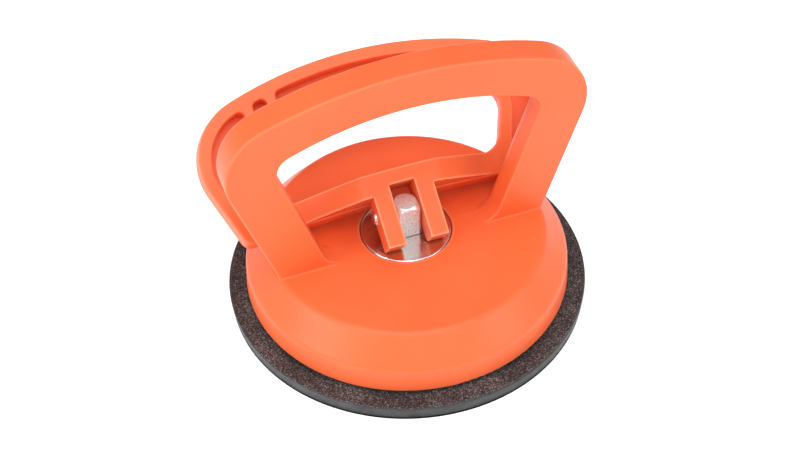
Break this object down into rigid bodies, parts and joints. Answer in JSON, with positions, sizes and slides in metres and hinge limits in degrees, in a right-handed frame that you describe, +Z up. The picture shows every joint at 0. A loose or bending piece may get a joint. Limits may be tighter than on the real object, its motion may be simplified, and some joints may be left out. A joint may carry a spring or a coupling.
{
  "type": "suction lifter",
  "caption": "Single-cup suction lifter: a rubber pad under a shallow dome with a fixed grip, and a hinged lever that pulls the pad up to hold floor tiles or glass.",
  "frame": {"origin": "centre of the suction pad's underside, on the surface it is placed on", "axes": "+Z up, away from the surface; +X along both grips and the hinge pin; +Y towards the side the open lever lies on"},
  "size_m": [0.12, 0.1188, 0.0952],
  "materials": {
    "orange_plastic": "fine satin moulded surface",
    "pad_rubber": "matte, lightly speckled",
    "plate_steel": "polished",
    "stud_steel": "cast and tumbled",
    "pin_steel": "smooth",
    "insert_steel": "plain"
  },
  "bodies": {
    "base": {"housing": "orange_plastic", "bearing_plate": "plate_steel", "suction_pad": "pad_rubber"},
    "stud": {"pull_stud": "stud_steel", "hinge_pin": "pin_steel", "pad_insert": "insert_steel"},
    "lever": {"lever": "orange_plastic"}
  },
  "joints": [
    {"name": "stud_lift", "type": "slide", "parent": "base", "child": "stud", "axis": [0, 0, 1], "range_m": [0, 0.0055]},
    {"name": "lever_swing", "type": "hinge", "parent": "stud", "child": "lever", "pos_m": [0, 0, 0.0331], "axis": [1, 0, 0], "range_deg": [0, 55]}
  ],
  "couplings": [
    {"joint": "stud_lift", "follows": "lever_swing", "m_per_rad": 0.005729}
  ]
}
